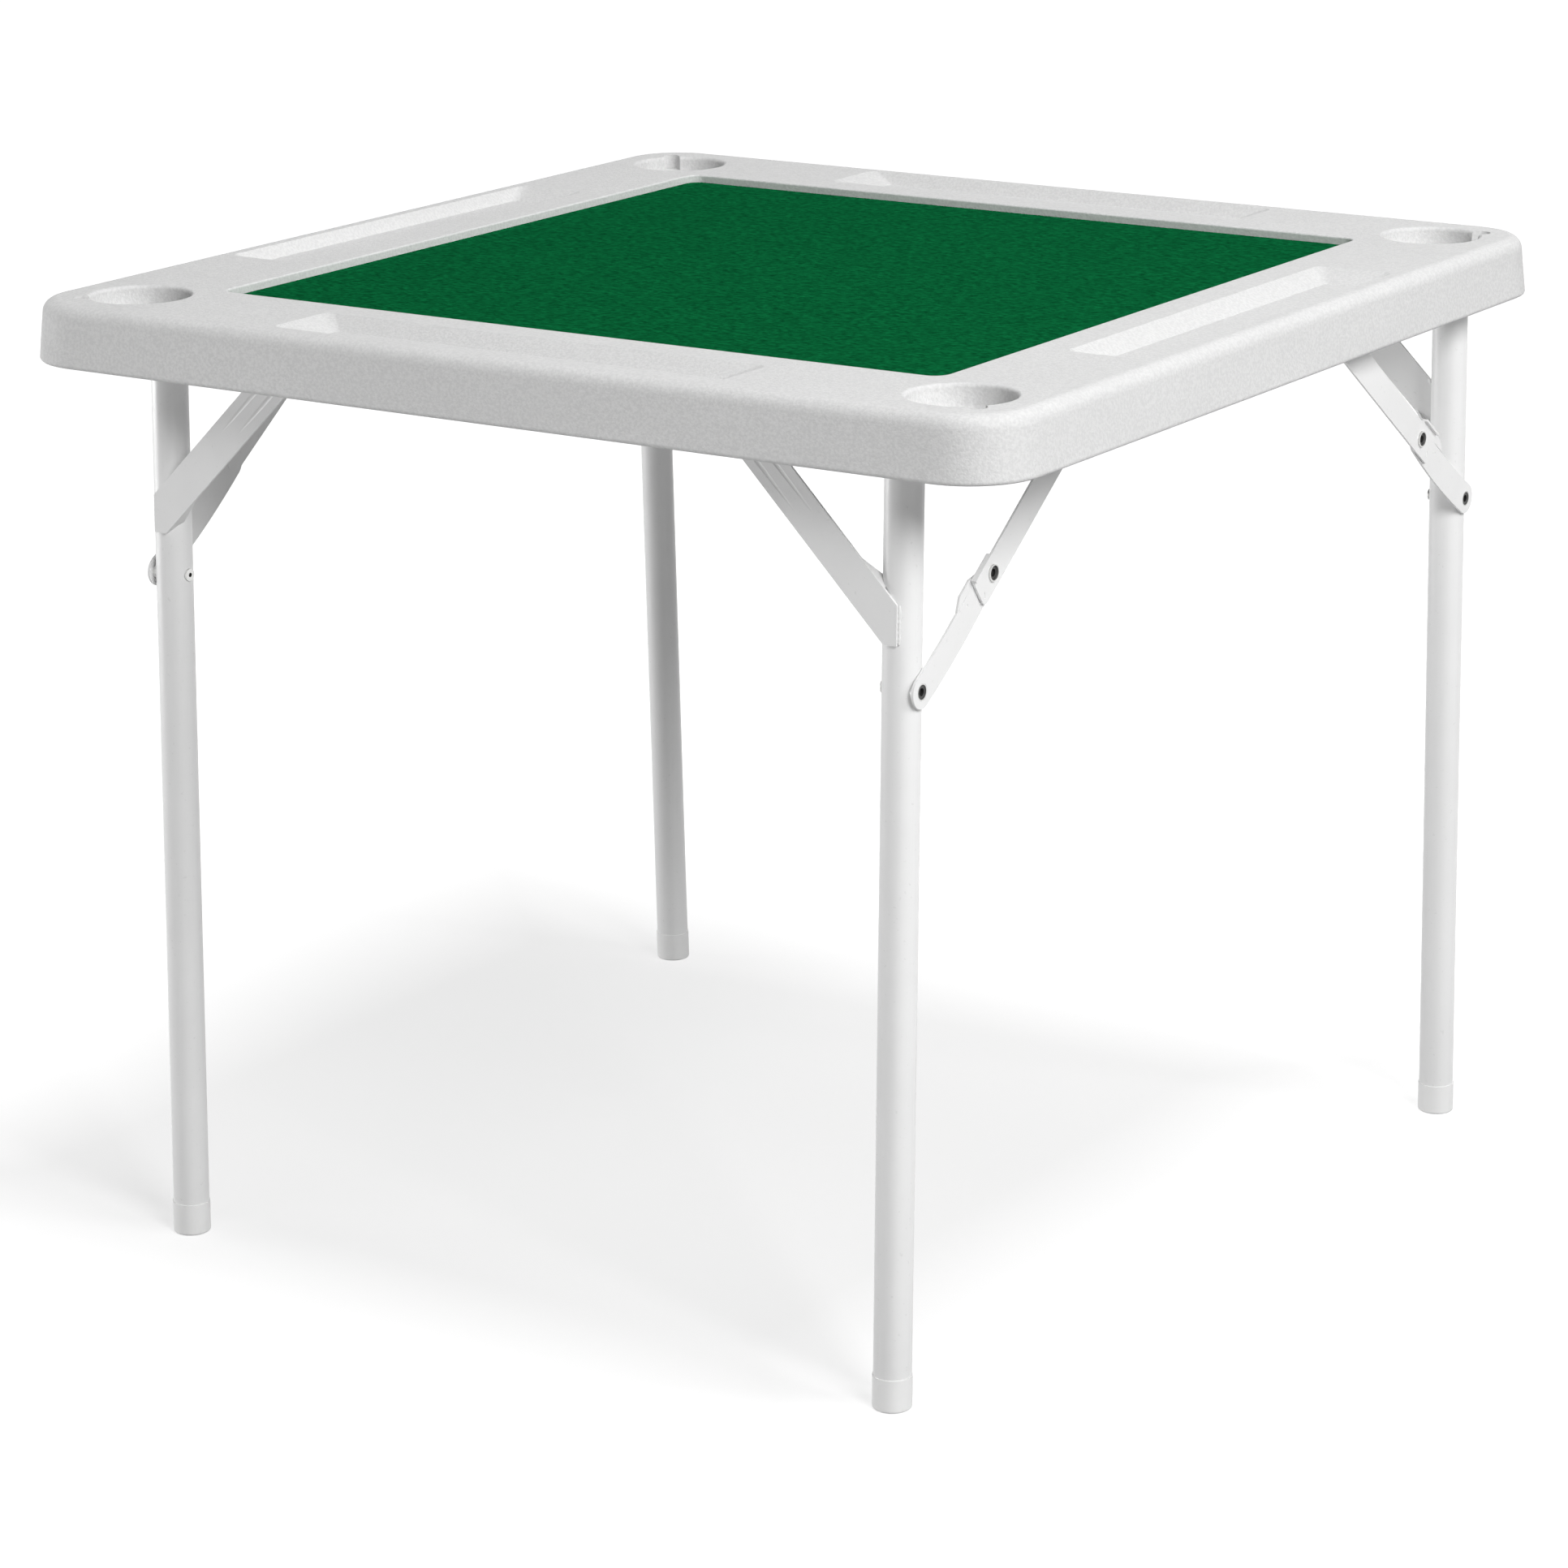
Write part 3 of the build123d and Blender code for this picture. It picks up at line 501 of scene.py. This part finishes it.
def weld_beads(tag, spec, material):
    """Beads where the legs and braces are welded."""
    for label, side in SIDES.items():
        x = side * spec["half"]
        path = []
        for k in range(COPE_POINTS):
            a = 2 * math.pi * k / COPE_POINTS
            drop = max(TUBE * abs(math.cos(a)), COPE) + COPE_LIFT
            path.append(frame_point(spec, x + COPE_OUT * math.cos(a), -drop,
                                    COPE_OUT * math.sin(a)))
        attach(bead("weld_cope_%s_%s" % (tag, label), path, material, closed=True), "frame_" + tag)
        path = []
        for k in range(BRACE_POINTS):
            rise = (BRACE_HIGH - BRACE_LOW) * k / (BRACE_POINTS - 1)
            path.append(frame_point(spec, side * (spec["half"] + BRACE_ASIDE),
                                    -BRACE_DROP + BRACE_LOW + rise, BRACE_OUT))
        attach(bead("weld_brace_%s_%s" % (tag, label), path, material, radius=BRACE_BEAD),
                "frame_" + tag)
        path = []
        for k in range(TOP_POINTS):
            share = k / (TOP_POINTS - 1)
            across = (spec["half"] - BRACE_DROP - BRACE_TOP
                      + (2 * share - 1) * BRACE_LIFT * TOP_LENGTH_SHARE)
            path.append(frame_point(spec, side * across, BRACE_TOP + TOP_RISE, TOP_OUT))
        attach(bead("weld_top_%s_%s" % (tag, label), path, material, radius=TOP_BEAD),
                "frame_" + tag)


plastic = moulded_plastic()
white = smooth_plastic()
paint = painted_steel()
weld = weld_paint()
zinc_steel = zinc()
dress("tabletop_shell", plastic)
dress("play_board", hardboard())
for name in ("strap_screws", "bracket_screws", "stay_washers_a", "stay_washers_b"):
    dress(name, zinc_steel)
for tag, spec in FRAMES.items():
    y, z, inward = spec["y"], spec["z"], spec["inward"]
    rivet_y = y - inward * RIVET_DROP * math.sin(LEAN)
    rivet_z = z - RIVET_DROP * math.cos(LEAN)
    dress("leg_rivets_" + tag, rivet("leg_rivet_" + tag, rivet_y, rivet_z, spec["half"]))
    dress("bracket_pins_" + tag, rivet("pin_" + tag, y + inward * PIN_REACH, z))
    knee = rivet("knee_" + tag, y + inward * KNEE[0], z + KNEE[1])
    for name in ("hinge_straps_", "stay_brackets_", "cross_tube_"):
        dress(name + tag, paint)
    for name in ("hinge_saddles_", "tube_plugs_"):
        dress(name + tag, white)
    for label in SIDES:
        place = tag + "_" + label
        for name in ("leg_", "corner_brace_", "lower_stay_", "upper_stay_", "knee_rivet_inner_"):
            dress(name + place, paint)
        dress("foot_cap_" + place, white)
        dress("knee_rivet_outer_" + place, knee)
    weld_beads(tag, spec, weld)

felt_sheet = felt_piece(felt())
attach(felt_sheet, "tabletop")
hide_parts("play_felt")


def backdrop_material(name):
    """White to the camera and in shines, plain for the light on the part, clear from below.

    The white drops to SHADE_LEVEL in a square of painted shade that stays put on the floor, over
    the lamps' own shadow.
    """
    m = Surface(name)
    place = m.axes()
    across, along = (m.math("ABSOLUTE", m.math("SUBTRACT", place[axis], middle))
                     for axis, middle in SHADE_MIDDLE.items())
    # Painted shade: the glow is lower in a fixed square under the top
    reach = m.spread(m.math("MAXIMUM", across, along), SHADE_INNER, SHADE_OUTER, SHADE_LEVEL, 1.0)
    glow = m.new("Emission")
    m.link(m.math("MULTIPLY", m.seen(), reach), glow.inputs["Strength"])
    both = m.new("AddShader")
    m.link(m.shader.outputs[0], both.inputs[0])
    m.link(glow.outputs[0], both.inputs[1])
    side = m.new("MixShader")
    m.link(m.new("NewGeometry").outputs["Backfacing"], side.inputs["Fac"])
    m.link(both.outputs[0], side.inputs[1])
    m.link(m.new("BsdfTransparent").outputs[0], side.inputs[2])
    m.link(side.outputs[0], m.output.inputs["Surface"])
    color = m.blend(m.noise(3.0, detail=2.0), 0.3, 0.7, *FLOOR)
    return m.finish(Base_Color=color, Roughness=0.9, Specular_IOR_Level=0.0)


def area_light(name, place, aim_height, size, power):
    data = bpy.data.lights.new(name, "AREA")
    data.shape = "RECTANGLE"
    data.size, data.size_y = size
    data.energy = power
    lamp = bpy.data.objects.new(name, data)
    lamp.location = place
    lamp.rotation_mode = "QUATERNION"
    lamp.rotation_quaternion = (Vector((0, 0, aim_height)) - Vector(place)).to_track_quat("-Z", "Y")
    bpy.context.scene.collection.objects.link(lamp)


corners = [(-SPAN, -SPAN, 0), (SPAN, -SPAN, 0), (SPAN, SPAN, 0), (-SPAN, SPAN, 0)]
floor = make_mesh("floor", corners, [(0, 1, 2, 3)], backdrop_material("floor_white"), smooth=False)

# World: white behind the object, soft and even on it
world = bpy.data.worlds.new("studio")
bpy.context.scene.world = world
sky = Nodes(world)
glow = sky.new("Background")
glow.inputs["Color"].default_value = (1.0, 1.0, 1.0, 1.0)
sky.link(sky.spread(sky.seen(), 0.0, 1.0, WORLD_LIGHT, 1.0), glow.inputs["Strength"])
sky.link(glow.outputs[0], sky.new("OutputWorld").inputs["Surface"])

for lamp in LAMPS:
    area_light(*lamp)

# Camera
ahead = Vector((-math.sin(YAW) * math.cos(PITCH), math.cos(YAW) * math.cos(PITCH),
                -math.sin(PITCH)))
level_right = Vector((math.cos(YAW), math.sin(YAW), 0))
level_up = level_right.cross(ahead)
right = level_right * math.cos(ROLL) + level_up * math.sin(ROLL)
up = level_up * math.cos(ROLL) - level_right * math.sin(ROLL)
camera_data = bpy.data.cameras.new("camera")
camera_data.sensor_width = SENSOR
camera_data.lens = LENS
camera_data.clip_end = CLIP_END
camera = bpy.data.objects.new("camera", camera_data)
rows = [(right[i], up[i], -ahead[i], CAMERA_PLACE[i]) for i in range(3)]
camera.matrix_world = Matrix((*rows, (0, 0, 0, 1)))
bpy.context.scene.collection.objects.link(camera)
bpy.context.scene.camera = camera
bpy.context.scene.view_settings.view_transform = "Standard"
